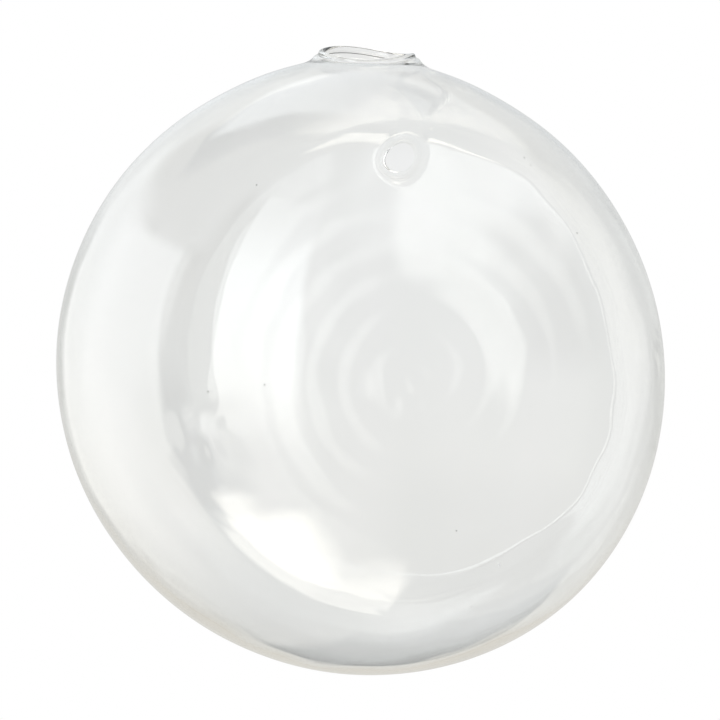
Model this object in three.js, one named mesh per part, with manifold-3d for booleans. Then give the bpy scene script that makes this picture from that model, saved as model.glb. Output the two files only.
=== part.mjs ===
// A wall vase: one clear bubble of mouth-blown glass, pressed flat at the back so that it lies against a wall.
// A short flared neck stands on top, and a round eyelet through the back takes the screw it hangs on.
// The glassmaker's five worked sections are kept apart: front bubble, back panel, neck collar, lip and eyelet.
// The origin is the middle of the eyelet in the plane of the wall: +X right, +Y into the wall, +Z up.

import * as THREE from "three";
import { mergeVertices, toCreasedNormals } from "three/addons/utils/BufferGeometryUtils.js";
import Module from "manifold-3d";

// Driving dimensions, in millimetres.

// Bubble
const BODY_DIAMETER = 200; // widest width, in the plane where the front meets the back
const FRONT_DEPTH = 80; // from the widest plane to the front of the bubble
const BACK_DEPTH = 59; // from the widest plane to the wall
const FOLD_WIDTH = 24; // rounded fold, from the widest width in to the flat back
const GLASS_WALL = 2.2;

// Pressed back
const PAD_DIAMETER = 46; // flattest part, which lies on the wall
const PAD_SHOULDER = 18; // width of the soft edge round it
const PAD_SHIFT = 6; // its middle, right of the axis of the bubble
const FALL_SLOPE = 0.045; // the upper right falls away from the wall, in mm for each mm to the right
const FALL_ROUND = 5; // softness of the crest where it starts
const FALL_FOOT = -53; // height, from the axis of the bubble, where it begins
const FALL_HEAD = 15; // and where it is full

// Neck and lip
const NECK_SETBACK = 5; // neck axis behind the widest plane
const NECK_RISE = 4.4; // top of the lip above the bubble
const MOUTH_DIAMETER = 26; // clear mouth inside the lip
const LIP_WIDTH = 3.4;
const LIP_HEIGHT = 2.6;
const LIP_TILT = 0.8; // the lip stands higher at the left than at the right
const LIP_LEAN = 1.1; // and higher at the wall than towards the room
const LIP_WAVE = 0.4; // second, finer wave of the hand-finished lip
const FLARE_WIDTH = 68; // left to right, where the neck melts into the bubble
const FLARE_DEPTH = 52; // front to back

// Hanging eyelet
const EYELET_DROP = 29; // eyelet below the top of the bubble
const EYELET_BORE = 10.2; // passes a screw head of 8 to 9 mm
const EYELET_DIAMETER = 16.2; // outside of the tube turned inward round the hole
const EYELET_LENGTH = 6.5; // from the wall to the inner end of the tube
const FUNNEL_DIAMETER = 20; // where the back begins to turn into the hole
const FUNNEL_SET = 0.5; // rim of the funnel in front of the wall

const SEAM_GAP = 0.3; // between neighbouring sections

// Sizes that follow from those above.
const BODY_RADIUS = BODY_DIAMETER / 2;
const FLAT_RADIUS = BODY_RADIUS - FOLD_WIDTH;
const PAD_RADIUS = PAD_DIAMETER / 2;
const EYELET_RISE = BODY_RADIUS - EYELET_DROP; // above the axis of the bubble
const NECK_Y = NECK_SETBACK - BACK_DEPTH;
const LIP_RADIUS = (MOUTH_DIAMETER + LIP_WIDTH) / 2;
const LIP_BASE = NECK_RISE - LIP_HEIGHT;
const FLARE_RADIUS = FLARE_WIDTH / 2;
const FLARE_SQUASH = FLARE_DEPTH / FLARE_WIDTH;

// Fineness of the curves.
const BODY_SEGMENTS = 60;
const FRONT_ROWS = 12;
const FOLD_ROWS = 8;
const FLAT_ROWS = 7;
const NECK_SEGMENTS = 40;
const NECK_ROWS = 6;
const LIP_ROWS = 8;
const EYELET_SEGMENTS = 28;
const CREASE = Math.PI / 5; // edges sharper than this stay crisp

const wasm = await Module();
wasm.setup();

function toSolid(geometry) {
  const bare = geometry.clone();
  bare.deleteAttribute("normal");
  bare.deleteAttribute("uv");
  const merged = mergeVertices(bare, 1e-4);
  const vertProperties = new Float32Array(merged.attributes.position.array);
  const triVerts = new Uint32Array(merged.index.array);
  return new wasm.Manifold(new wasm.Mesh({ numProp: 3, vertProperties, triVerts }));
}

function toGeometry(solid) {
  const { vertProperties, triVerts } = solid.getMesh();
  const geometry = new THREE.BufferGeometry();
  geometry.setAttribute("position", new THREE.BufferAttribute(vertProperties, 3));
  geometry.setIndex(new THREE.BufferAttribute(triVerts, 1));
  return toCreasedNormals(geometry, CREASE);
}

function cut(geometry, ...openings) {
  const remaining = openings.reduce((solid, opening) => solid.subtract(toSolid(opening)), toSolid(geometry));
  return toGeometry(remaining);
}

// Half outline of the front, as (radius, y), from its pole to the seam in the widest plane.
function frontOutline(inset) {
  const depth = FRONT_DEPTH - inset;
  const seam = SEAM_GAP / 2 / depth;
  const arc = new THREE.EllipseCurve(0, -BACK_DEPTH, BODY_RADIUS - inset, depth, -Math.PI / 2, -seam);
  return arc.getPoints(FRONT_ROWS);
}

// Half outline of the back, from the seam round the fold and over the flat to the middle.
function backOutline(inset) {
  const depth = BACK_DEPTH - inset;
  const seam = SEAM_GAP / 2 / depth;
  const fold = new THREE.EllipseCurve(FLAT_RADIUS, -BACK_DEPTH, FOLD_WIDTH - inset, depth, seam, Math.PI / 2);
  const flat = new THREE.LineCurve(new THREE.Vector2(FLAT_RADIUS, -inset), new THREE.Vector2(0, -inset));
  return [...fold.getPoints(FOLD_ROWS), ...flat.getPoints(FLAT_ROWS).slice(1)];
}

// How far the back falls away from the wall at a place, with x and z from the axis of the bubble.
function backFall(x, y, z) {
  const { smoothstep } = THREE.MathUtils;
  const behind = smoothstep(y, -BACK_DEPTH, 0);
  const pastPad = smoothstep(Math.hypot(x - PAD_SHIFT, z), PAD_RADIUS, PAD_RADIUS + PAD_SHOULDER);
  const upper = smoothstep(z, FALL_FOOT, FALL_HEAD);
  const pastCrest = (x + Math.hypot(x, FALL_ROUND)) / 2;
  return FALL_SLOPE * pastCrest * behind * pastPad * upper;
}

// Presses the bubble flat a little askew: the upper right of its back lies further from the wall than the pad.
function pressAskew(geometry) {
  const place = geometry.attributes.position;
  for (let i = 0; i < place.count; i += 1) {
    const [x, y, z] = [place.getX(i), place.getY(i), place.getZ(i)];
    place.setY(i, y - backFall(x, y, z));
  }
  return geometry;
}

// Revolved about the level axis of the bubble, which lies below the eyelet.
function revolveBubble(outline) {
  const geometry = pressAskew(new THREE.LatheGeometry(outline, BODY_SEGMENTS));
  return geometry.translate(0, 0, -EYELET_RISE);
}

// Upright oval opening where the neck collar takes the place of the bubble's wall.
function neckOpening() {
  const oval = new THREE.Shape();
  oval.absellipse(0, NECK_Y, FLARE_RADIUS + SEAM_GAP, FLARE_DEPTH / 2 + SEAM_GAP, 0, 2 * Math.PI);
  const options = { depth: 1.5 * BODY_RADIUS, bevelEnabled: false, curveSegments: NECK_SEGMENTS };
  const column = new THREE.ExtrudeGeometry(oval, options);
  return column.translate(0, 0, -EYELET_RISE);
}

function eyeletOpening() {
  const radius = FUNNEL_DIAMETER / 2 + SEAM_GAP;
  return new THREE.CylinderGeometry(radius, radius, BACK_DEPTH, EYELET_SEGMENTS);
}

// The domed bowl of the vase, open at the back.
function frontBubble() {
  const outline = [...frontOutline(0), ...frontOutline(GLASS_WALL).reverse()];
  return cut(revolveBubble(outline), neckOpening());
}

// The flattened back, with the rounded fold that carries it round to the widest plane.
function backPanel() {
  const outline = [...backOutline(GLASS_WALL).reverse(), ...backOutline(0)];
  return cut(revolveBubble(outline), neckOpening(), eyeletOpening());
}

// Height of the bubble's wall above its axis, at a place beside the neck.
function bubbleHeight(x, y, inset) {
  const inFront = y < -BACK_DEPTH;
  const depth = (inFront ? FRONT_DEPTH : BACK_DEPTH) - inset;
  const fullness = Math.sqrt(Math.max(0, 1 - ((y + BACK_DEPTH) / depth) ** 2));
  const flat = inFront ? 0 : FLAT_RADIUS;
  const radius = flat + (BODY_RADIUS - inset - flat) * fullness;
  return Math.sqrt(radius ** 2 - x ** 2);
}

// Uneven height of the hand-finished lip; the angle runs from the wall side round to the right.
function lipUnevenness(angle) {
  return LIP_LEAN * Math.cos(angle) - LIP_TILT * Math.sin(angle) - LIP_WAVE * Math.sin(2 * angle);
}

function aroundNeck(placeAt) {
  return Array.from({ length: NECK_SEGMENTS }, (_, step) => placeAt((2 * Math.PI * step) / NECK_SEGMENTS));
}

// One ring of the collar: at the bottom it follows the saddle of the bubble, at the top the uneven lip.
function collarRing(radius, rise, climb, inset) {
  const squash = THREE.MathUtils.lerp(FLARE_SQUASH, 1, climb);
  return aroundNeck((angle) => {
    const x = radius * Math.sin(angle);
    const y = NECK_Y + radius * squash * Math.cos(angle);
    const saddle = bubbleHeight(x, y, inset);
    const level = BODY_RADIUS + lipUnevenness(angle);
    const height = THREE.MathUtils.lerp(saddle, level, climb) + rise;
    return new THREE.Vector3(x, y, height - EYELET_RISE);
  });
}

// One side of the collar, from the bubble up to the lip: a low shoulder, then a quick turn upward.
function collarSide(topRadius, inset) {
  const flare = new THREE.CubicBezierCurve(
    new THREE.Vector2(FLARE_RADIUS, 0),
    new THREE.Vector2(0.74 * FLARE_RADIUS, 0.25 * NECK_RISE),
    new THREE.Vector2(1.05 * topRadius, 0.3 * NECK_RISE),
    new THREE.Vector2(topRadius, LIP_BASE),
  );
  return flare
    .getPoints(NECK_ROWS)
    .map((place, row) => collarRing(place.x, place.y, (row / NECK_ROWS) ** 2, inset));
}

// Skins a closed loop of rings, so that the section between them becomes solid.
function skinRings(rings) {
  const count = rings[0].length;
  const index = [];
  rings.forEach((ring, row) => {
    const next = (row + 1) % rings.length;
    ring.forEach((_, step) => {
      const turn = (step + 1) % count;
      const [a, b] = [row * count + step, row * count + turn];
      const [c, d] = [next * count + turn, next * count + step];
      index.push(a, b, c, a, c, d);
    });
  });
  const geometry = new THREE.BufferGeometry().setFromPoints(rings.flat());
  geometry.setIndex(index);
  return toCreasedNormals(geometry, CREASE);
}

// The flared neck, drawn up out of the bubble.
function neckCollar() {
  const outside = collarSide(LIP_RADIUS + GLASS_WALL / 2, 0);
  const inside = collarSide(LIP_RADIUS - GLASS_WALL / 2, GLASS_WALL);
  return skinRings([...outside.reverse(), ...inside]);
}

// The fire-polished lip: a rounded bead that follows the uneven top of the collar.
function lipBead() {
  const foot = LIP_BASE + SEAM_GAP;
  const bead = new THREE.EllipseCurve(LIP_RADIUS, foot, LIP_WIDTH / 2, LIP_HEIGHT - SEAM_GAP, Math.PI, 0, true);
  const rings = bead.getPoints(LIP_ROWS).map((place) => collarRing(place.x, place.y, 1, 0));
  return skinRings(rings);
}

// The eyelet: the back turns inward as a funnel and ends in a short thick tube with a rounded end.
function hangingEyelet() {
  const bore = EYELET_BORE / 2;
  const outside = EYELET_DIAMETER / 2;
  const rim = FUNNEL_DIAMETER / 2;
  const bead = (outside - bore) / 2;
  const beadCentre = bead - EYELET_LENGTH;
  const section = new THREE.Path();
  section.moveTo(rim, -FUNNEL_SET);
  section.quadraticCurveTo(bore, -FUNNEL_SET, bore, beadCentre);
  section.absarc(bore + bead, beadCentre, bead, Math.PI, 2 * Math.PI);
  section.quadraticCurveTo(outside, -FUNNEL_SET - GLASS_WALL, rim, -FUNNEL_SET - GLASS_WALL);
  section.closePath();
  return new THREE.LatheGeometry(section.getPoints(6), EYELET_SEGMENTS);
}

function glassPiece(name, geometry, color) {
  const material = new THREE.MeshStandardMaterial({ color, roughness: 0.06, metalness: 0 });
  const piece = new THREE.Mesh(geometry, material);
  piece.name = name;
  return piece;
}

const vase = new THREE.Group();
vase.name = "wall_vase";
vase.add(
  glassPiece("front_bubble", frontBubble(), 0xe3e8e6),
  glassPiece("back_panel", backPanel(), 0xd9dfdc),
  glassPiece("neck_collar", neckCollar(), 0xe6ebe9),
  glassPiece("lip_bead", lipBead(), 0xeef2f0),
  glassPiece("hanging_eyelet", hangingEyelet(), 0xcfd6d3),
);

export default vase;
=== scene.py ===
"""A wall vase of clear mouth-blown glass, seen from the room.

The real vase is one unbroken piece of glass, so its five CAD sections are replaced by one skin
with no seams: an outer and an inner surface, joined round the lip of the neck and round the
hanging eyelet.
"""

import math

import bmesh
import bpy
import numpy as np
from mathutils import Matrix, Vector
from mathutils.geometry import delaunay_2d_cdt


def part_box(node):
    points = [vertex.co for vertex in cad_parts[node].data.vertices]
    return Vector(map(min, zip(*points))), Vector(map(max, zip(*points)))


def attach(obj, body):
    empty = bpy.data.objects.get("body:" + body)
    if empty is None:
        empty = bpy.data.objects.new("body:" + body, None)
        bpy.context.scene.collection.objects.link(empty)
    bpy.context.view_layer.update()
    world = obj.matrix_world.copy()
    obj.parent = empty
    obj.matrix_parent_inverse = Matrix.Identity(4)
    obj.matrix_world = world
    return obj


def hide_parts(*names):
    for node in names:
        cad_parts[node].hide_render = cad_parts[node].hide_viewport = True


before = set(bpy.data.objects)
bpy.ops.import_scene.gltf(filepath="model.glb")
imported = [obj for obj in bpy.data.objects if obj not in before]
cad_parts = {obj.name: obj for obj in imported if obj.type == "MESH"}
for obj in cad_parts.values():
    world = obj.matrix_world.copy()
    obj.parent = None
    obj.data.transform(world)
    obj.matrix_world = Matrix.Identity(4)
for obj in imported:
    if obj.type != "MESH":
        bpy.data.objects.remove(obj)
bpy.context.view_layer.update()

MM = 0.001

# Sizes from the frame, in metres.
front_low, front_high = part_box("front_bubble")
back_low, back_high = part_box("back_panel")
lip_low, lip_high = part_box("lip_bead")
BODY_RADIUS = (front_high.x - front_low.x) / 2
WIDEST_Y = (front_high.y + back_low.y) / 2
FRONT_DEPTH = WIDEST_Y - front_low.y
BACK_DEPTH = back_high.y - WIDEST_Y
WALL_Y = back_high.y
AXIS_Z = back_low.z + BODY_RADIUS
NECK_Y = (lip_low.y + lip_high.y) / 2

# Bubble and back
FOLD_WIDTH = 24 * MM
FOLD_TIGHTNESS = 1.5  # above 1 the fold is tightest where it leaves the flat back
OUT_OF_ROUND = 0.0136  # the hand-turned bubble is longer along one slant than across it
LONG_SLANT = math.radians(-42)  # that slant, from upright, positive to the right
PAD_RADIUS = 23 * MM  # middle of the back, where it was pressed flattest
PAD_SHOULDER = 18 * MM  # width of that middle's soft edge
BACK_FALL = math.radians(2.6)  # right of the middle and above it the back falls away from the wall
FALL_ROUND = 5 * MM  # softness of the crest where the fall starts
FALL_FOOT = -40 * MM  # heights from the axis where it starts and where it is full
FALL_HEAD = 45 * MM
SWELLS = [  # places where the outline stands out: height, angle round the body from +X, half width
    (2.0 * MM, math.radians(195), math.radians(33)),
    (0.9 * MM, math.radians(317), math.radians(16)),
    (0.45 * MM, math.radians(52), math.radians(14)),
]

# Wall of the glass
GLASS_WALL = 1.6 * MM
THIN_WALL = 0.9 * MM  # blowing and pressing drew the glass thinnest in the fold
THIN_PLANE = 18 * MM  # where that is, behind the widest plane
THIN_BAND = 45 * MM  # how far in front of it and behind it the wall is thinner
SAG_THICKNESS = 1.4 * MM  # soft glass sinks, so the bottom is thicker
SAG_START = -35 * MM  # from the axis
SAG_END = 0.75  # share of the way from the widest plane to the wall where it has run out
GATHER_THICKNESS = 1.2 * MM  # a gather of thicker glass runs along the left of the fold
GATHER_REACH = 78 * MM  # from the middle of the back
GATHER_WIDTH = 14 * MM
GATHER_TURN = math.radians(-110)  # from upright, positive to the right

# Neck and lip
NECK_RADIUS = 17.4 * MM  # outside of the neck where the lip starts to curl up
NECK_RISE = 2.0 * MM  # and how far it stands above the bubble there
NECK_FLARE = 1.7 * MM  # how quickly the neck runs out into the shoulder
NECK_WALL = 1.5 * MM
COLLAR_RADIUS = 21 * MM  # where that wall has thinned to the bubble's own
SHOULDER_RISE = 1.4 * MM  # broad swelling where the neck was drawn up
SHOULDER_RADIUS = 56 * MM
SHOULDER_FOOT = 0.5  # heights, as shares of the radius, between which that drawing up sets in
SHOULDER_HEAD = 0.7
LIP_TOP = 4.1 * MM  # mean top of the lip above the bubble
LIP_RADIUS = 16 * MM  # outside of the lip
LIP_WIDTH = 2.0 * MM
LIP_ROUND = 1.0 * MM  # depth of the round that the flame left on it
LIP_PULL = 0.6 * MM  # how gently the skins bend into it
LIP_LEAN = 2.1 * MM  # the lip stands higher at the wall than towards the room
LIP_TILT = 1.1 * MM  # and higher at the left than at the right
LIP_WAVE = 0.65 * MM  # two waves round it
LIP_WAVE_TURN = math.radians(16)
LIP_CURL = 0.3 * MM  # and three

# Eyelet
EYELET_FLARE = 9.8 * MM  # where the back starts to turn into the eyelet
EYELET_BORE = 5.1 * MM
EYELET_RING = 7.6 * MM  # the crest of the ring round the hole is midway from the bore to this
EYELET_DIP = 0.2 * MM  # how far the back is drawn in round the hole
EYELET_HEIGHT = 2.4 * MM  # the ring above the inside of the back
DIP_PULL = 0.4  # how gently the skins bend into it, as shares of the flare's width: at the wall,
CREST_PULL = 0.5  # at the crest of the ring
FOOT_PULL = 0.9  # and at its foot

# Ripples that the blowing and the turning left
RIPPLE_HEIGHT = 0.17 * MM
RIPPLE_SIZE = 46 * MM
FINE_HEIGHT = 0.075 * MM
FINE_SIZE = 15 * MM
KNOT_CENTRE = (-30 * MM, WIDEST_Y - 73 * MM, AXIS_Z - 17 * MM)  # ropy glass low at the left
KNOT_REACH = 11 * MM
KNOT_HEIGHT = 0.62 * MM
KNOT_SIZE = 8.5 * MM
PRESS_HEIGHT = 0.037 * MM  # whirl left on the back by the turning board
PRESS_SIZE = 11.5 * MM
PRESS_CENTRE = (6 * MM, 0.0, AXIS_Z - 5 * MM)
PRESS_START = 0.75  # share of the flat back's radius where the whirl starts to run out
PRESS_CALM = 0.85  # share of the ripple that the pressing took out of the back
FOLD_CALM = 0.6  # and out of the fold round it
WIDEST_CALM = 0.7  # share of the fine ripple that the turning took out round the widest plane
WIDEST_BAND = 30 * MM  # how far in front of and behind that plane
NECK_FREE = 40 * MM  # reach from the neck's middle at which the ripple is full
EYELET_FREE = 22 * MM  # and from the eyelet's

# Fineness of the outline and the mesh
CURVE_SAMPLES = 800  # on each of the outline's three stretches
OUTLINE_STEPS = 2400
OUTLINE_SOFTNESS = 3  # in those steps
RISING_PART = slice(0, OUTLINE_STEPS * 3 // 4)  # where the outline runs only towards the wall
CLOSING_PART = slice(OUTLINE_STEPS * 3 // 5, None)  # where it runs only towards the axis
SKIN_DIVISIONS = 7
NECK_SEGMENTS = 120
NECK_RINGS = 22
NECK_NET_RADIUS = 0.6 * SHOULDER_RADIUS  # where the neck's rings end
NECK_CROWDING = 0.65  # how much closer they stand at the lip
EYELET_SEGMENTS = 80
EYELET_RINGS = 9
EYELET_CROWDING = 1.2
FOLD_SEGMENTS = 400
FOLD_OFFSETS = np.array([-1.6, -0.8, -0.3, 0.2, 0.7, 1.2, 1.8, 2.6, 3.8]) * MM  # from the flat's edge
RING_GAP = 1.2 * MM  # between the rings and the even net round them
FOLD_GAP = 0.6 * MM
LIP_BEND_STEPS = 6
LIP_BEAD_STEPS = 20
EYELET_DIP_STEPS = 8
EYELET_BEAD_STEPS = 24
EYELET_FOOT_STEPS = 16

# Glass
GLASS_IOR = 1.5
GLASS_DEPTH_COLOUR = "#cccdc5"
GLASS_DEPTH_DENSITY = 32.0  # per metre
STREAK_COLOURS = ("#fbfcfb", "#ffffff")
STREAK_SIZE = 26 * MM  # cords, the faint cloudy streaks of uneven melt
STREAK_STRETCH = 0.35  # they are drawn out upright by the swinging of the pipe
SEED_COLOUR = "#6f6f6a"
SEED_SPACING = 20 * MM  # seeds, tiny bubbles that show as dark specks
SEED_RADIUS = 0.3 * MM

# Camera
CAMERA_AZIMUTH = 13.5  # towards +X, so that the back shows a little to the right of the bubble
CAMERA_ELEVATION = 2.6
CAMERA_DISTANCE = 1.0
CAMERA_ROLL = 0.6
FOCAL_PIXELS = 3040.0
FRAME_PIXELS = 720.0
SENSOR = 36.0
BODY_CENTRE_PIXEL = (360.2, 369.3)

# Studio
FLOOR_COLOUR = "#f4f4f2"
FLOOR_RADIUS = 1.6
FLOOR_DROP = 0.45  # below the axis of the vase
LIGHT_BOUNCES = 32  # light runs a long way inside the lip and the eyelet before it comes out
ROOM_LEVEL = 0.92
THROUGH_LEVEL = 0.86  # backdrop as seen through the glass
HIGH_TINT = "#f8fcff"  # daylight from above
LOW_TINT = "#fffaf0"  # warmer light from the floor
TINT_SPAN = (-45, 30)  # elevations between the two, in degrees
BACKDROP_ANGLE = 94.0  # its edge, in degrees from the line to the camera
BACKDROP_EDGE = 0.8
BACKDROP_LEVEL = 0.57

# What the glass mirrors, laid over the room and its backdrop in this order. Angles are in degrees,
# azimuth from the vase's front towards the right, or from its back where the panel is behind it.
# Edges are the softness of the low and the high end.
# (name, behind, azimuth, its edges, elevation, its edges, level)
PANELS = [
    ("right wall", False, (25, 95), (12, 10), (-30, 40), (10, 10), 1.05),
    ("right wall beside the vase", False, (95, 150), (10, 10), (-40, 40), (10, 10), 0.75),
    ("floor at the right", False, (10, 150), (14, 14), (-78, -32), (8, 10), 0.62),
    ("ceiling at the right", False, (-10, 130), (14, 14), (40, 80), (10, 8), 1.3),
    ("ceiling in front", False, (-60, -10), (10, 14), (54, 84), (4, 6), 0.8),
    ("dark doorway at the right", False, (60, 105), (10, 10), (4, 48), (8, 8), 0.35),
    ("floor at the left", False, (-135, -60), (12, 6), (-82, -48), (6, 10), 0.45),
    ("dark gap beside the strip", False, (-64, -38), (4, 4), (-62, 50), (8, 8), 0.05),
    ("middle of the backdrop", True, (-54, 24), (8, 8), (-41.5, 12), (0.8, 8), 0.75),
    ("upper backdrop", True, (-70, 30), (12, 12), (8, 60), (10, 10), 0.8),
    ("left end of the upper backdrop", True, (-80, -24), (12, 10), (10, 60), (8, 10), 1.08),
    ("gap over the left reflector", False, (-125, -55), (6, 3), (30, 78), (3, 3), 0.7),
    ("far end of the left reflector", False, (-131, -95), (3, 8), (-38, 32), (28, 4), 1.35),
    ("left reflector", False, (-108, -63), (14, 1.5), (-38, 28), (28, 2), 2.0),
    ("gap under the backdrop", True, (-34, 40), (4, 4), (-74, -41.5), (5, 0.8), 0.05),
    ("strip softbox", False, (-42.5, -15), (0.4, 1.7), (-16, 51.5), (8, 0.3), 1.25),
    ("hot middle of the strip", False, (-42.5, -15), (0.4, 1.7), (-12, 36), (14, 15), 3.0),
    ("glow of the low softbox", False, (-56, 25), (3, 14), (-86, -68), (3, 6), 1.8),
    ("hot corner of the low softbox", False, (-54, -40), (2, 6), (-60, -35), (5, 2), 3.4),
    ("low softbox by the strip", False, (-60, -20), (2.5, 8), (-88, -44), (5, 4), 4.4),
    ("low softbox", False, (-62, 30), (3, 5), (-86, -70), (3, 4), 3.3),
]
CEILING_SIDE = (0.33, 0.94, -0.06)  # the pale ceiling starts over the vase and runs away this way
CEILING_EDGE = 0.03
CEILING_FOOT = (44, 50)  # elevations over which it sets in, in degrees
CEILING_LEVEL = 1.1
CEILING_LEFT_LEVEL = 1.85
CEILING_LEFT = (0.1, -0.4)  # from none to all of that level, along x


def hex_to_linear(text):
    """sRGB hex to the linear colour that the shaders take."""
    srgb = np.array([int(text[i : i + 2], 16) for i in (1, 3, 5)]) / 255
    linear = np.where(srgb <= 0.04045, srgb / 12.92, ((srgb + 0.055) / 1.055) ** 2.4)
    return (*linear, 1.0)


def add_node(tree, kind, links=None, **settings):
    """Adds a node and returns its outputs.

    Settings name its properties, and links its inputs, each a plain value or another node's output.
    """
    node = tree.nodes.new(kind)
    for name, value in settings.items():
        setattr(node, name, value)
    for name, value in (links or {}).items():
        if isinstance(value, bpy.types.NodeSocket):
            tree.links.new(value, node.inputs[name])
        else:
            node.inputs[name].default_value = value
    return node.outputs


def smooth_step(low, high, value):
    t = np.clip((value - low) / (high - low), 0, 1)
    return t * t * (3 - 2 * t)


def outline_table():
    """Half outline of the outer skin as evenly spaced radius and y, from the front to the back."""
    turn = np.linspace(0, math.pi / 2, CURVE_SAMPLES)
    flat_radius = BODY_RADIUS - FOLD_WIDTH
    flat = np.linspace(flat_radius, 0, CURVE_SAMPLES)
    fold = np.cos(turn).clip(0) ** FOLD_TIGHTNESS
    radius = np.concatenate([BODY_RADIUS * np.sin(turn), flat_radius + FOLD_WIDTH * fold, flat])
    y = np.concatenate([
        WIDEST_Y - FRONT_DEPTH * np.cos(turn),
        WIDEST_Y + BACK_DEPTH * np.sin(turn),
        np.full_like(flat, WALL_Y),
    ])
    travel = np.concatenate([[0], np.cumsum(np.hypot(np.diff(radius), np.diff(y)))])
    even = np.linspace(0, travel[-1], OUTLINE_STEPS)
    return np.interp(even, travel, radius), np.interp(even, travel, y)


def soften(values, sign, width):
    """Runs a smooth window along the outline, mirrored at both poles, so no curve starts with a jolt."""
    reach = 3 * width
    window = np.exp(-0.5 * (np.arange(-reach, reach + 1) / width) ** 2)
    window /= window.sum()
    head = values[1 : reach + 1][::-1]
    tail = values[-reach - 1 : -1][::-1]
    padded = np.concatenate([sign * head, values, sign * tail])
    return np.convolve(padded, window, mode="valid")


radius_table, y_table = outline_table()
OUTLINE_RADIUS = soften(radius_table, -1, OUTLINE_SOFTNESS)
OUTLINE_Y = soften(y_table, 1, OUTLINE_SOFTNESS)
OUTLINE_TURN = np.linspace(0, math.pi, OUTLINE_STEPS)


def bubble_skin(direction):
    """Outer skin of the plain bubble: each unit direction is carried to its place on the outline."""
    turn = np.arccos(np.clip(-direction[:, 1], -1, 1))
    around = np.arctan2(direction[:, 0], direction[:, 2])
    radius = np.interp(turn, OUTLINE_TURN, OUTLINE_RADIUS)
    y = np.interp(turn, OUTLINE_TURN, OUTLINE_Y)
    radius = radius * (1 + OUT_OF_ROUND * np.cos(2 * (around - LONG_SLANT)))
    return np.stack([radius * np.sin(around), y, AXIS_Z + radius * np.cos(around)], 1)


def unit_directions(turn, around):
    """Unit directions by their turn from the front and their angle round the axis."""
    across = np.sin(turn)
    return np.stack([across * np.sin(around), -np.cos(turn), across * np.cos(around)], 1)


def directions_near_neck(x, y):
    """Unit directions of the skin straight under places given by x and y round the neck."""
    turn = np.interp(y, OUTLINE_Y[RISING_PART], OUTLINE_TURN[RISING_PART])
    radius = np.interp(turn, OUTLINE_TURN, OUTLINE_RADIUS)
    return unit_directions(turn, np.arcsin(np.clip(x / radius, -1, 1)))


def directions_on_back(x, z):
    """Unit directions of the skin straight behind places given by x and z on the back."""
    radius = np.hypot(x, z - AXIS_Z)
    turn = np.interp(-radius, -OUTLINE_RADIUS[CLOSING_PART], OUTLINE_TURN[CLOSING_PART])
    return unit_directions(turn, np.arctan2(x, z - AXIS_Z))


def ring_angles(count):
    return np.arange(count) * 2 * math.pi / count


def lip_unevenness(angle):
    """Uneven height of the hand-finished lip; the angle runs from the wall side to the right."""
    slope = LIP_LEAN * np.cos(angle) - LIP_TILT * np.sin(angle)
    return slope - LIP_WAVE * np.cos(2 * (angle - LIP_WAVE_TURN)) - LIP_CURL * np.sin(3 * angle)


def shape_neck(place):
    """Lifts the skin round the neck: a broad shoulder, then a quick flare up to the lip's start."""
    x, y, z = place.T
    reach = np.hypot(x, y - NECK_Y)
    foot = AXIS_Z + SHOULDER_FOOT * BODY_RADIUS
    head = AXIS_Z + SHOULDER_HEAD * BODY_RADIUS
    shoulder = SHOULDER_RISE * (1 - smooth_step(NECK_RADIUS, SHOULDER_RADIUS, reach))
    climb = np.exp(-np.maximum(reach - NECK_RADIUS, 0) / NECK_FLARE)
    raised = z + shoulder
    level = AXIS_Z + BODY_RADIUS + NECK_RISE + lip_unevenness(np.arctan2(x, y - NECK_Y))
    lift = raised + climb * (level - raised) - z
    return np.stack([x, y, z + smooth_step(foot, head, z) * lift], 1)


def shape_back(place):
    """Presses the back a little askew: round its flat middle the upper right leaves the wall."""
    x, y, z = place.T
    behind = smooth_step(WIDEST_Y, WALL_Y, y)
    from_middle = np.hypot(x - PRESS_CENTRE[0], z - PRESS_CENTRE[2])
    past_pad = smooth_step(PAD_RADIUS, PAD_RADIUS + PAD_SHOULDER, from_middle)
    upper = smooth_step(AXIS_Z + FALL_FOOT, AXIS_Z + FALL_HEAD, z)
    past_crest = (x + np.hypot(x, FALL_ROUND)) / 2
    fall = math.tan(BACK_FALL) * past_crest * past_pad * upper
    return np.stack([x, y - behind * fall, z], 1)


def shape_swells(place):
    """Lets the body out where the soft glass swelled, most at its outline, not at all on its axis."""
    x, y, z = place.T
    around = np.arctan2(z - AXIS_Z, x)
    share = np.hypot(x, z - AXIS_Z) / BODY_RADIUS
    swell = np.zeros_like(y)
    for height, turn, width in SWELLS:
        swell += height * np.exp((np.cos(around - turn) - 1) / width**2)
    outward = np.stack([np.cos(around), np.zeros_like(y), np.sin(around)], 1)
    return place + outward * (swell * share**2)[:, None]


def outer_skin(direction):
    return shape_swells(shape_back(shape_neck(bubble_skin(direction))))


def spread_directions():
    """Evenly spread unit directions, the corners of a finely divided icosahedron."""
    ball = bmesh.new()
    bmesh.ops.create_icosphere(ball, subdivisions=SKIN_DIVISIONS, radius=1)
    direction = np.array([corner.co for corner in ball.verts])
    ball.free()
    return direction / np.linalg.norm(direction, axis=1, keepdims=True)


def neck_rings():
    """Directions of rings round the neck, the lip first, each with the same number of points."""
    step = np.linspace(0, 1, NECK_RINGS)
    crowded = (1 - NECK_CROWDING) * step + NECK_CROWDING * step**2
    reach = NECK_RADIUS + (NECK_NET_RADIUS - NECK_RADIUS) * crowded
    angle = ring_angles(NECK_SEGMENTS)
    rings = [directions_near_neck(r * np.sin(angle), NECK_Y + r * np.cos(angle)) for r in reach]
    return np.concatenate(rings), reach[-1]


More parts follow.
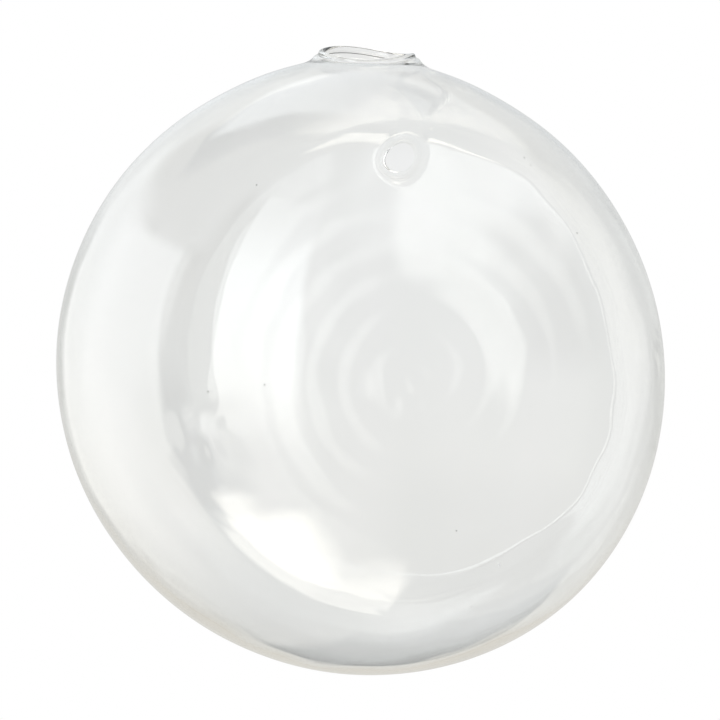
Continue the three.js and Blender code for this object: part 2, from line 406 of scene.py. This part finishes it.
def eyelet_rings():
    """Directions of rings round the eyelet, the rim of its flare first."""
    reach = EYELET_FLARE * (1 + np.linspace(0, 1, EYELET_RINGS) ** EYELET_CROWDING)
    angle = ring_angles(EYELET_SEGMENTS)
    rings = [directions_on_back(r * np.sin(angle), r * np.cos(angle)) for r in reach]
    return np.concatenate(rings), reach[-1]


def fold_rings(eyelet_reach):
    """Directions of rings along the tight start of the fold, kept clear of the eyelet's."""
    reach = BODY_RADIUS - FOLD_WIDTH + FOLD_OFFSETS
    angle = ring_angles(FOLD_SEGMENTS)
    rings = [directions_on_back(r * np.sin(angle), AXIS_Z + r * np.cos(angle)) for r in reach]
    direction = np.concatenate(rings)
    x, _, z = bubble_skin(direction).T
    return direction[np.hypot(x, z) > eyelet_reach + RING_GAP], reach[0], reach[-1]


def skin_mesh():
    """Outer skin as points and triangles; first come the points of the lip, then the eyelet's rim."""
    neck, neck_reach = neck_rings()
    eyelet, eyelet_reach = eyelet_rings()
    fold, fold_start, fold_end = fold_rings(eyelet_reach)
    spread = spread_directions()
    x, y, z = bubble_skin(spread).T
    behind = y > WIDEST_Y
    reach = np.hypot(x, z - AXIS_Z)
    by_neck = (np.hypot(x, y - NECK_Y) < neck_reach + RING_GAP) & (z > AXIS_Z)
    by_eyelet = (np.hypot(x, z) < eyelet_reach + RING_GAP) & behind
    by_fold = (reach > fold_start - FOLD_GAP) & (reach < fold_end + FOLD_GAP) & behind
    direction = np.concatenate([
        neck[:NECK_SEGMENTS],
        eyelet[:EYELET_SEGMENTS],
        neck[NECK_SEGMENTS:],
        eyelet[EYELET_SEGMENTS:],
        fold,
        spread[~(by_neck | by_eyelet | by_fold)],
    ])
    pole = eyelet[:EYELET_SEGMENTS].mean(0)
    triangles = net_triangles(direction, pole / np.linalg.norm(pole))
    rim_end = NECK_SEGMENTS + EYELET_SEGMENTS
    across_lip = (triangles < NECK_SEGMENTS).all(1)
    across_eyelet = ((triangles >= NECK_SEGMENTS) & (triangles < rim_end)).all(1)
    return outer_skin(direction), triangles[~(across_lip | across_eyelet)]


def net_triangles(direction, pole):
    """Joins unit directions into a net, laid out flat as seen from the pole, where it has a hole."""
    right = np.cross(pole, (0, 1, 0))
    right /= np.linalg.norm(right)
    up = np.cross(right, pole)
    spread = 1 - direction @ pole
    flat = [Vector(spot) for spot in zip(direction @ right / spread, direction @ up / spread)]
    _, _, faces, origins, _, _ = delaunay_2d_cdt(flat, [], [], 0, 1e-9, True)
    origin = np.array([numbers[0] for numbers in origins])
    triangles = origin[np.array(faces)]
    a, b, c = (direction[triangles[:, i]] for i in range(3))
    inward = np.einsum("ij,ij->i", np.cross(b - a, c - a), a + b + c) < 0
    triangles[inward] = triangles[inward][:, ::-1]
    return triangles


def point_normals(place, triangles):
    a, b, c = (place[triangles[:, i]] for i in range(3))
    facing = np.cross(b - a, c - a)
    normal = np.zeros_like(place)
    for corner in range(3):
        np.add.at(normal, triangles[:, corner], facing)
    return normal / np.linalg.norm(normal, axis=1, keepdims=True)


def join_rings(rings):
    """Triangles between neighbouring rings of point numbers."""
    triangles = []
    for lower, upper in zip(rings[:-1], rings[1:]):
        lower_next = np.roll(lower, -1)
        upper_next = np.roll(upper, -1)
        triangles.append(np.stack([lower, lower_next, upper_next], 1))
        triangles.append(np.stack([lower, upper_next, upper], 1))
    return np.concatenate(triangles)


def bend_rings(start, leave, end, arrive, steps):
    """Rings on curves from one ring to another, along the given pulls; the last is the end."""
    rings = []
    for t in np.linspace(0, 1, steps + 1)[1:]:
        ring = (1 - t) ** 3 * start + 3 * t * (1 - t) ** 2 * (start + leave)
        ring = ring + 3 * t * t * (1 - t) * (end - arrive)
        rings.append(ring + t**3 * end)
    return rings


def bead_rings(middle, across, along, steps):
    """Rings round half a bead, from one side over its end to the other side."""
    turns = np.linspace(0, math.pi, steps + 1)[1:]
    return [middle + across * math.cos(turn) + along * math.sin(turn) for turn in turns]


def ring_slope(ring, next_ring):
    """Unit steps along the skin into its opening."""
    step = ring - next_ring
    return step / np.linalg.norm(step, axis=1, keepdims=True)


def lip_section(outer, inner, slope):
    """Rings of the lip, from the outer skin up round its bead and down to the inner skin."""
    angle = ring_angles(NECK_SEGMENTS)
    away = np.stack([np.sin(angle), np.cos(angle), np.zeros_like(angle)], 1)
    up = np.array([0, 0, 1.0])
    level = AXIS_Z + BODY_RADIUS + LIP_TOP - LIP_ROUND + lip_unevenness(angle)
    neck_axis = np.array([0, NECK_Y, 0])
    middle = away * (LIP_RADIUS - LIP_WIDTH / 2) + neck_axis + np.outer(level, up)
    side = away * LIP_WIDTH / 2
    pull = slope * LIP_PULL
    lift = up * LIP_PULL
    return [
        *bend_rings(outer, pull, middle + side, lift, LIP_BEND_STEPS),
        *bead_rings(middle, side, up * LIP_ROUND, LIP_BEAD_STEPS),
        *bend_rings(middle - side, -lift, inner, -pull, LIP_BEND_STEPS)[:-1],
    ]


def eyelet_section(outer, inner, slope):
    """Rings of the eyelet: in from the back, round the hole's melted edge, down to the inner skin."""
    angle = ring_angles(EYELET_SEGMENTS)
    away = np.stack([np.sin(angle), np.zeros_like(angle), np.cos(angle)], 1)
    inward = np.array([0, -1.0, 0])
    half = (EYELET_RING - EYELET_BORE) / 2
    wall_side = EYELET_DIP - outer[:, 1].mean()
    room_side = EYELET_HEIGHT - inner[:, 1].mean()
    middle = away * (EYELET_BORE + half) + inward * (wall_side + room_side) / 2
    depth = inward * (room_side - wall_side) / 2
    flare = EYELET_FLARE - EYELET_BORE - half
    dip_in = slope * flare * DIP_PULL
    dip_out = -away * flare * DIP_PULL
    crest = away * flare * CREST_PULL
    foot = -slope * flare * FOOT_PULL
    return [
        *bend_rings(outer, dip_in, middle - depth, dip_out, EYELET_DIP_STEPS),
        *bead_rings(middle, -depth, -away * half, EYELET_BEAD_STEPS),
        *bend_rings(middle + depth, crest, inner, foot, EYELET_FOOT_STEPS)[:-1],
    ]


def wall_thickness(place):
    """Wall thinnest in the fold, thicker at the neck, the bottom and a gather along the fold's left."""
    x, y, z = place.T
    reach = np.hypot(x, z - AXIS_Z)
    around = np.arctan2(x, z - AXIS_Z)
    ridge = np.exp(-(((reach - GATHER_REACH) / GATHER_WIDTH) ** 2)) * (y > WIDEST_Y)
    side = smooth_step(0, 1, np.cos(around - GATHER_TURN))
    thin = np.exp(-(((y - WIDEST_Y - THIN_PLANE) / THIN_BAND) ** 2))
    low = smooth_step(AXIS_Z + SAG_START, AXIS_Z - BODY_RADIUS, z)
    before_fold = 1 - smooth_step(WIDEST_Y, WIDEST_Y + BACK_DEPTH * SAG_END, y)
    wall = GLASS_WALL + (THIN_WALL - GLASS_WALL) * thin + GATHER_THICKNESS * ridge * side
    wall = wall + SAG_THICKNESS * low * before_fold
    from_neck = np.hypot(x, y - NECK_Y)
    collar = (1 - smooth_step(NECK_RADIUS, COLLAR_RADIUS, from_neck)) * (z > AXIS_Z)
    return wall + (NECK_WALL - wall) * collar


def glass_net():
    """The whole glass as points and triangles, with the number of points on each skin."""
    outer, triangles = skin_mesh()
    inner = outer - point_normals(outer, triangles) * wall_thickness(outer)[:, None]
    count = len(outer)
    lip = np.arange(NECK_SEGMENTS)
    rim = NECK_SEGMENTS + np.arange(EYELET_SEGMENTS)
    after_lip = lip + NECK_SEGMENTS + EYELET_SEGMENTS
    after_rim = rim + EYELET_SEGMENTS + NECK_SEGMENTS * (NECK_RINGS - 1)
    lip_bead = lip_section(outer[lip], inner[lip], ring_slope(outer[lip], outer[after_lip]))
    eyelet = eyelet_section(outer[rim], inner[rim], ring_slope(outer[rim], outer[after_rim]))
    places = [outer, inner]
    faces = [triangles, triangles[:, ::-1] + count]
    total = 2 * count
    for start, rings, order in ((lip, lip_bead, -1), (rim, eyelet, 1)):
        numbers = [start]
        for ring in rings:
            numbers.append(total + np.arange(len(ring)))
            places.append(ring)
            total += len(ring)
        numbers.append(start + count)
        faces.append(join_rings(numbers[::order]))
    return np.concatenate(places), np.concatenate(faces), count


def skin_values(place, count):
    """For each point, how far each kind of ripple shows there; the press marked only the outside."""
    x, y, z = place.T
    from_neck = np.hypot(x, y - NECK_Y) + (z < AXIS_Z)
    from_eyelet = np.hypot(x, z) + (y < WIDEST_Y)
    free = smooth_step(NECK_RADIUS, NECK_FREE, from_neck)
    free = free * smooth_step(EYELET_FLARE, EYELET_FREE, from_eyelet)
    free[2 * count :] = 0
    share = np.hypot(x, z - AXIS_Z) / (BODY_RADIUS - FOLD_WIDTH)
    pressed = free * (y > WIDEST_Y) * (1 - smooth_step(PRESS_START, 1, share))
    from_knot = np.linalg.norm(place - np.array(KNOT_CENTRE), axis=1)
    knot = np.exp(-((from_knot / KNOT_REACH) ** 2))
    folded = smooth_step(WIDEST_Y, WIDEST_Y + BACK_DEPTH / 2, y) * (1 - pressed)
    calm = free * (1 - PRESS_CALM * pressed - FOLD_CALM * folded)
    still = 1 - WIDEST_CALM * np.exp(-(((y - WIDEST_Y) / WIDEST_BAND) ** 2))
    outside = np.arange(len(place)) < count
    return {"broad": calm, "fine": calm * still, "knot": knot, "pressed": pressed * outside}


def mesh_from(name, place, face):
    mesh = bpy.data.meshes.new(name)
    mesh.vertices.add(len(place))
    mesh.vertices.foreach_set("co", place.astype(np.float32).ravel())
    mesh.loops.add(face.size)
    mesh.loops.foreach_set("vertex_index", face.astype(np.int32).ravel())
    mesh.polygons.add(len(face))
    mesh.polygons.foreach_set("loop_start", np.arange(0, face.size, 3, dtype=np.int32))
    mesh.update(calc_edges=True)
    mesh.validate()
    return mesh


def add_point_values(mesh, name, values):
    layer = mesh.attributes.new(name, "FLOAT", "POINT")
    layer.data.foreach_set("value", values.astype(np.float32))


def noise_lift(tree, place, size, height, share):
    """Lift of one kind of ripple: noise of a size and a height, as far as it shows there."""
    scale = add_node(tree, "ShaderNodeMath", {0: 1.0, 1: size}, operation="DIVIDE")[0]
    noise = add_node(tree, "ShaderNodeTexNoise", {"Vector": place, "Scale": scale, "Detail": 0.0})[0]
    swing = add_node(tree, "ShaderNodeMath", {0: noise, 1: 0.5}, operation="SUBTRACT")[0]
    swing = add_node(tree, "ShaderNodeMath", {0: swing, 1: height}, operation="MULTIPLY")[0]
    return add_node(tree, "ShaderNodeMath", {0: swing, 1: share}, operation="MULTIPLY")[0]


def whirl_lift(tree, place, centre, size, height, share):
    """Lift of the whirl that the turning board left: a spiral groove round its centre."""
    away = add_node(tree, "ShaderNodeVectorMath", {0: place, 1: centre}, operation="SUBTRACT")[0]
    x, _, z = add_node(tree, "ShaderNodeSeparateXYZ", {0: away})
    reach = add_node(tree, "ShaderNodeVectorMath", {0: away}, operation="LENGTH")["Value"]
    turns = add_node(tree, "ShaderNodeMath", {0: reach, 1: size}, operation="DIVIDE")[0]
    turns = add_node(tree, "ShaderNodeMath", {0: turns, 1: 2 * math.pi}, operation="MULTIPLY")[0]
    around = add_node(tree, "ShaderNodeMath", {0: x, 1: z}, operation="ARCTAN2")[0]
    phase = add_node(tree, "ShaderNodeMath", {0: turns, 1: around}, operation="ADD")[0]
    groove = add_node(tree, "ShaderNodeMath", {0: phase}, operation="SINE")[0]
    groove = add_node(tree, "ShaderNodeMath", {0: groove, 1: height}, operation="MULTIPLY")[0]
    return add_node(tree, "ShaderNodeMath", {0: groove, 1: share}, operation="MULTIPLY")[0]


def ripple_inputs(tree):
    """Named inputs of the ripple tree."""
    sockets = tree.interface
    sockets.new_socket("Geometry", in_out="INPUT", socket_type="NodeSocketGeometry")
    for kind in ("Ripple", "Fine", "Knot", "Press"):
        sockets.new_socket(kind + " Height", in_out="INPUT", socket_type="NodeSocketFloat")
        sockets.new_socket(kind + " Size", in_out="INPUT", socket_type="NodeSocketFloat")
    sockets.new_socket("Press Centre", in_out="INPUT", socket_type="NodeSocketVector")
    sockets.new_socket("Geometry", in_out="OUTPUT", socket_type="NodeSocketGeometry")
    return add_node(tree, "NodeGroupInput")


def ripple_tree(material):
    """Geometry nodes that ripple the glass along its normals and leave a whirl on the back."""
    tree = bpy.data.node_groups.new("hand_blown_ripple", "GeometryNodeTree")
    given = ripple_inputs(tree)
    shares = {}
    for name in ("broad", "fine", "knot", "pressed"):
        stored = add_node(tree, "GeometryNodeInputNamedAttribute", {"Name": name}, data_type="FLOAT")
        shares[name] = stored["Attribute"]
    place = add_node(tree, "GeometryNodeInputPosition")[0]
    lifts = []
    for kind, name in (("Ripple", "broad"), ("Fine", "fine"), ("Knot", "knot")):
        size = given[kind + " Size"]
        height = given[kind + " Height"]
        lifts.append(noise_lift(tree, place, size, height, shares[name]))
    centre, size, height = (given["Press " + name] for name in ("Centre", "Size", "Height"))
    lifts.append(whirl_lift(tree, place, centre, size, height, shares["pressed"]))
    lift = lifts[0]
    for more in lifts[1:]:
        lift = add_node(tree, "ShaderNodeMath", {0: lift, 1: more}, operation="ADD")[0]
    facing = add_node(tree, "GeometryNodeInputNormal")[0]
    offset = add_node(tree, "ShaderNodeVectorMath", {0: facing, "Scale": lift}, operation="SCALE")[0]
    moved = {"Geometry": given["Geometry"], "Offset": offset}
    glass = add_node(tree, "GeometryNodeSetPosition", moved)[0]
    glass = add_node(tree, "GeometryNodeSetShadeSmooth", {"Geometry": glass})[0]
    glass = add_node(tree, "GeometryNodeRealizeInstances", {"Geometry": glass})[0]
    glass = add_node(tree, "GeometryNodeSetMaterial", {"Geometry": glass, "Material": material})[0]
    add_node(tree, "NodeGroupOutput", {"Geometry": glass})
    return tree


def apply_tree(name, source, tree, values):
    """Runs a tree on a mesh and returns the result as an object with a plain mesh."""
    rough = bpy.data.objects.new(name + "_source", source)
    bpy.context.scene.collection.objects.link(rough)
    modifier = rough.modifiers.new("shape", "NODES")
    modifier.node_group = tree
    for item in tree.interface.items_tree:
        if item.item_type == "SOCKET" and item.in_out == "INPUT" and item.name in values:
            modifier[item.identifier] = values[item.name]
    bpy.context.view_layer.update()
    evaluated = rough.evaluated_get(bpy.context.evaluated_depsgraph_get())
    mesh = bpy.data.meshes.new_from_object(evaluated)
    mesh.name = name
    bpy.data.objects.remove(rough)
    piece = bpy.data.objects.new(name, mesh)
    bpy.context.scene.collection.objects.link(piece)
    return piece


def blown_glass():
    """The whole vase as one piece of rippled glass."""
    place, face, count = glass_net()
    source = mesh_from("blown_glass", place, face)
    for name, values in skin_values(place, count).items():
        add_point_values(source, name, values)
    return apply_tree("blown_glass", source, ripple_tree(clear_blown_glass()), {
        "Ripple Height": 2 * RIPPLE_HEIGHT,
        "Ripple Size": RIPPLE_SIZE,
        "Fine Height": 2 * FINE_HEIGHT,
        "Fine Size": FINE_SIZE,
        "Knot Height": 2 * KNOT_HEIGHT,
        "Knot Size": KNOT_SIZE,
        "Press Height": PRESS_HEIGHT,
        "Press Size": PRESS_SIZE,
        "Press Centre": PRESS_CENTRE,
    })


def clear_blown_glass():
    """Soda-lime glass, blown and fire polished.

    It is nearly colourless in the sheet, with faint streaks and a few tiny dark seeds. A grey grows
    with the depth of the glass, so that edges and folds draw darker.
    """
    material = bpy.data.materials.new("clear_blown_soda_lime_glass")
    material.use_nodes = True
    tree = material.node_tree
    tree.nodes.clear()
    place = add_node(tree, "ShaderNodeTexCoord")["Object"]
    stretch = (1, 1, STREAK_STRETCH)
    drawn = add_node(tree, "ShaderNodeMapping", {"Vector": place, "Scale": stretch})[0]
    cloudy = {"Vector": drawn, "Scale": 1 / STREAK_SIZE, "Detail": 1.0}
    cloud = add_node(tree, "ShaderNodeTexNoise", cloudy)[0]
    grey, clear = (hex_to_linear(colour) for colour in STREAK_COLOURS)
    streak = add_node(tree, "ShaderNodeMix", {0: cloud, 6: grey, 7: clear}, data_type="RGBA")[2]
    spaced = {"Vector": place, "Scale": 1 / SEED_SPACING}
    nearest = add_node(tree, "ShaderNodeTexVoronoi", spaced)["Distance"]
    within = {0: nearest, 1: SEED_RADIUS / SEED_SPACING}
    seed = add_node(tree, "ShaderNodeMath", within, operation="LESS_THAN")[0]
    seeded = {0: seed, 6: streak, 7: hex_to_linear(SEED_COLOUR)}
    shader = add_node(tree, "ShaderNodeBsdfPrincipled", {
        "Base Color": add_node(tree, "ShaderNodeMix", seeded, data_type="RGBA")[2],
        "Roughness": 0.0,
        "IOR": GLASS_IOR,
        "Transmission Weight": 1.0,
    })[0]
    depth = add_node(tree, "ShaderNodeVolumeAbsorption", {
        "Color": hex_to_linear(GLASS_DEPTH_COLOUR),
        "Density": GLASS_DEPTH_DENSITY,
    })[0]
    add_node(tree, "ShaderNodeOutputMaterial", {"Surface": shader, "Volume": depth})
    return material


def panel_mask(tree, angle, span, edges):
    """One between the two ends of a panel, with soft edges."""
    ends = []
    for end, edge, outward in ((span[0], edges[0], -1), (span[1], edges[1], 1)):
        outer = math.radians(end + outward * edge)
        inner = math.radians(end - outward * edge)
        reach = {0: angle, 1: outer, 2: inner}
        ends.append(add_node(tree, "ShaderNodeMapRange", reach, interpolation_type="SMOOTHSTEP")[0])
    return add_node(tree, "ShaderNodeMath", dict(enumerate(ends)), operation="MULTIPLY")[0]


def sight_line():
    turn = math.radians(CAMERA_AZIMUTH)
    rise = math.radians(CAMERA_ELEVATION)
    level = math.cos(rise)
    return Vector((math.sin(turn) * level, -math.cos(turn) * level, math.sin(rise)))


def backdrop_level(tree, toward):
    """Level of the room, with the backdrop on the far side of the vase."""
    sight = {0: toward, 1: sight_line()}
    ahead = add_node(tree, "ShaderNodeVectorMath", sight, operation="DOT_PRODUCT")["Value"]
    near = math.cos(math.radians(BACKDROP_ANGLE - BACKDROP_EDGE))
    far = math.cos(math.radians(BACKDROP_ANGLE + BACKDROP_EDGE))
    edge = {0: ahead, 1: near, 2: far}
    mask = add_node(tree, "ShaderNodeMapRange", edge, interpolation_type="SMOOTHSTEP")[0]
    return add_node(tree, "ShaderNodeMix", {0: mask, 2: ROOM_LEVEL, 3: BACKDROP_LEVEL})[0]


def with_panels(tree, level, toward, elevation):
    """Lays each panel over the level below it."""
    x, y, _ = add_node(tree, "ShaderNodeSeparateXYZ", {0: toward})
    toward_room = add_node(tree, "ShaderNodeMath", {0: y, 1: -1.0}, operation="MULTIPLY")[0]
    front = add_node(tree, "ShaderNodeMath", {0: x, 1: toward_room}, operation="ARCTAN2")[0]
    rear = add_node(tree, "ShaderNodeMath", {0: x, 1: y}, operation="ARCTAN2")[0]
    for _, behind, across, across_edges, upright, upright_edges, strength in PANELS:
        wide = panel_mask(tree, rear if behind else front, across, across_edges)
        tall = panel_mask(tree, elevation, upright, upright_edges)
        mask = add_node(tree, "ShaderNodeMath", {0: wide, 1: tall}, operation="MULTIPLY")[0]
        level = add_node(tree, "ShaderNodeMix", {0: mask, 2: level, 3: strength})[0]
    return level


def with_ceiling(tree, level, toward, elevation):
    """Lays the pale ceiling over the level below it, brighter at the left."""
    side = {0: toward, 1: CEILING_SIDE}
    over = add_node(tree, "ShaderNodeVectorMath", side, operation="DOT_PRODUCT")["Value"]
    x = add_node(tree, "ShaderNodeSeparateXYZ", {0: toward})[0]
    foot, head = (math.radians(angle) for angle in CEILING_FOOT)
    steps = []
    for value, start, end in (
        (elevation, foot, head),
        (over, -CEILING_EDGE, CEILING_EDGE),
        (x, *CEILING_LEFT),
    ):
        reach = {0: value, 1: start, 2: end}
        steps.append(add_node(tree, "ShaderNodeMapRange", reach, interpolation_type="SMOOTHSTEP")[0])
    high, inside, left = steps
    mask = add_node(tree, "ShaderNodeMath", {0: high, 1: inside}, operation="MULTIPLY")[0]
    graded = {0: left, 2: CEILING_LEVEL, 3: CEILING_LEFT_LEVEL}
    ceiling = add_node(tree, "ShaderNodeMix", graded)[0]
    return add_node(tree, "ShaderNodeMix", {0: mask, 2: level, 3: ceiling})[0]


def mirrored_tint(tree, elevation, mirrored):
    """Cool from above and warm from below for what is mirrored, and white for the rest."""
    low, high = (math.radians(angle) for angle in TINT_SPAN)
    rise = {0: elevation, 1: low, 2: high}
    height = add_node(tree, "ShaderNodeMapRange", rise, interpolation_type="SMOOTHSTEP")[0]
    tints = {0: height, 6: hex_to_linear(LOW_TINT), 7: hex_to_linear(HIGH_TINT)}
    tint = add_node(tree, "ShaderNodeMix", tints, data_type="RGBA")[2]
    choice = {0: mirrored, 6: hex_to_linear("#ffffff"), 7: tint}
    return add_node(tree, "ShaderNodeMix", choice, data_type="RGBA")[2]


def studio_world():
    """White for what is seen directly, nearly white through the glass, a room for reflections."""
    world = bpy.data.worlds.new("studio")
    world.use_nodes = True
    bpy.context.scene.world = world
    tree = world.node_tree
    tree.nodes.clear()
    path = add_node(tree, "ShaderNodeLightPath")
    toward = add_node(tree, "ShaderNodeTexCoord")["Generated"]
    z = add_node(tree, "ShaderNodeSeparateXYZ", {0: toward})[2]
    elevation = add_node(tree, "ShaderNodeMath", {0: z}, operation="ARCSINE")[0]
    level = backdrop_level(tree, toward)
    level = with_panels(tree, level, toward, elevation)
    level = with_ceiling(tree, level, toward, elevation)
    bounced = {0: path["Glossy Depth"], 1: 0.5}
    mirrored = add_node(tree, "ShaderNodeMath", bounced, operation="GREATER_THAN")[0]
    level = add_node(tree, "ShaderNodeMix", {0: mirrored, 2: THROUGH_LEVEL, 3: level})[0]
    level = add_node(tree, "ShaderNodeMix", {0: path["Is Camera Ray"], 2: level, 3: 1.0})[0]
    tint = mirrored_tint(tree, elevation, mirrored)
    shade = add_node(tree, "ShaderNodeBackground", {"Color": tint, "Strength": level})[0]
    add_node(tree, "ShaderNodeOutputWorld", {"Surface": shade})


def matt_floor_paint():
    """Pale matt paint, which keeps the vase's soft shadow and gives no gloss."""
    material = bpy.data.materials.new("pale_matt_floor")
    material.use_nodes = True
    shader = material.node_tree.nodes["Principled BSDF"]
    shader.inputs["Base Color"].default_value = hex_to_linear(FLOOR_COLOUR)
    shader.inputs["Roughness"].default_value = 0.9
    return material


def pale_floor():
    """A pale floor well below the hanging vase, out of the photograph's frame."""
    mesh = bpy.data.meshes.new("floor")
    place = Matrix.Translation((0, WIDEST_Y, AXIS_Z - FLOOR_DROP))
    net = bmesh.new()
    bmesh.ops.create_circle(net, cap_ends=True, segments=96, radius=FLOOR_RADIUS, matrix=place)
    net.to_mesh(mesh)
    net.free()
    mesh.materials.append(matt_floor_paint())
    floor = bpy.data.objects.new("floor", mesh)
    bpy.context.scene.collection.objects.link(floor)
    floor.visible_glossy = False
    floor.visible_transmission = False


def portrait_camera():
    """Camera at the photograph's angle, with the bubble where the photograph has it."""
    camera = bpy.data.cameras.new("portrait")
    camera.sensor_width = SENSOR
    camera.lens = FOCAL_PIXELS / FRAME_PIXELS * SENSOR
    rig = bpy.data.objects.new("portrait", camera)
    bpy.context.scene.collection.objects.link(rig)
    bpy.context.scene.camera = rig
    back = sight_line()
    right = Vector((0, 0, 1)).cross(back).normalized()
    per_pixel = CAMERA_DISTANCE / FOCAL_PIXELS
    across = (FRAME_PIXELS / 2 - BODY_CENTRE_PIXEL[0]) * per_pixel
    upward = (BODY_CENTRE_PIXEL[1] - FRAME_PIXELS / 2) * per_pixel
    target = Vector((0, WIDEST_Y, AXIS_Z)) + right * across + back.cross(right) * upward
    facing = (-back).to_track_quat("-Z", "Y").to_matrix().to_4x4()
    roll = Matrix.Rotation(math.radians(CAMERA_ROLL), 4, "Z")
    rig.matrix_world = Matrix.Translation(target + back * CAMERA_DISTANCE) @ facing @ roll


def main():
    scene = bpy.context.scene
    scene.view_settings.view_transform = "Standard"
    scene.cycles.max_bounces = LIGHT_BOUNCES
    scene.cycles.glossy_bounces = LIGHT_BOUNCES
    scene.cycles.transmission_bounces = LIGHT_BOUNCES
    vase = blown_glass()
    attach(vase, "root")
    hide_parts("front_bubble", "back_panel", "neck_collar", "lip_bead", "hanging_eyelet")
    studio_world()
    pale_floor()
    portrait_camera()


main()
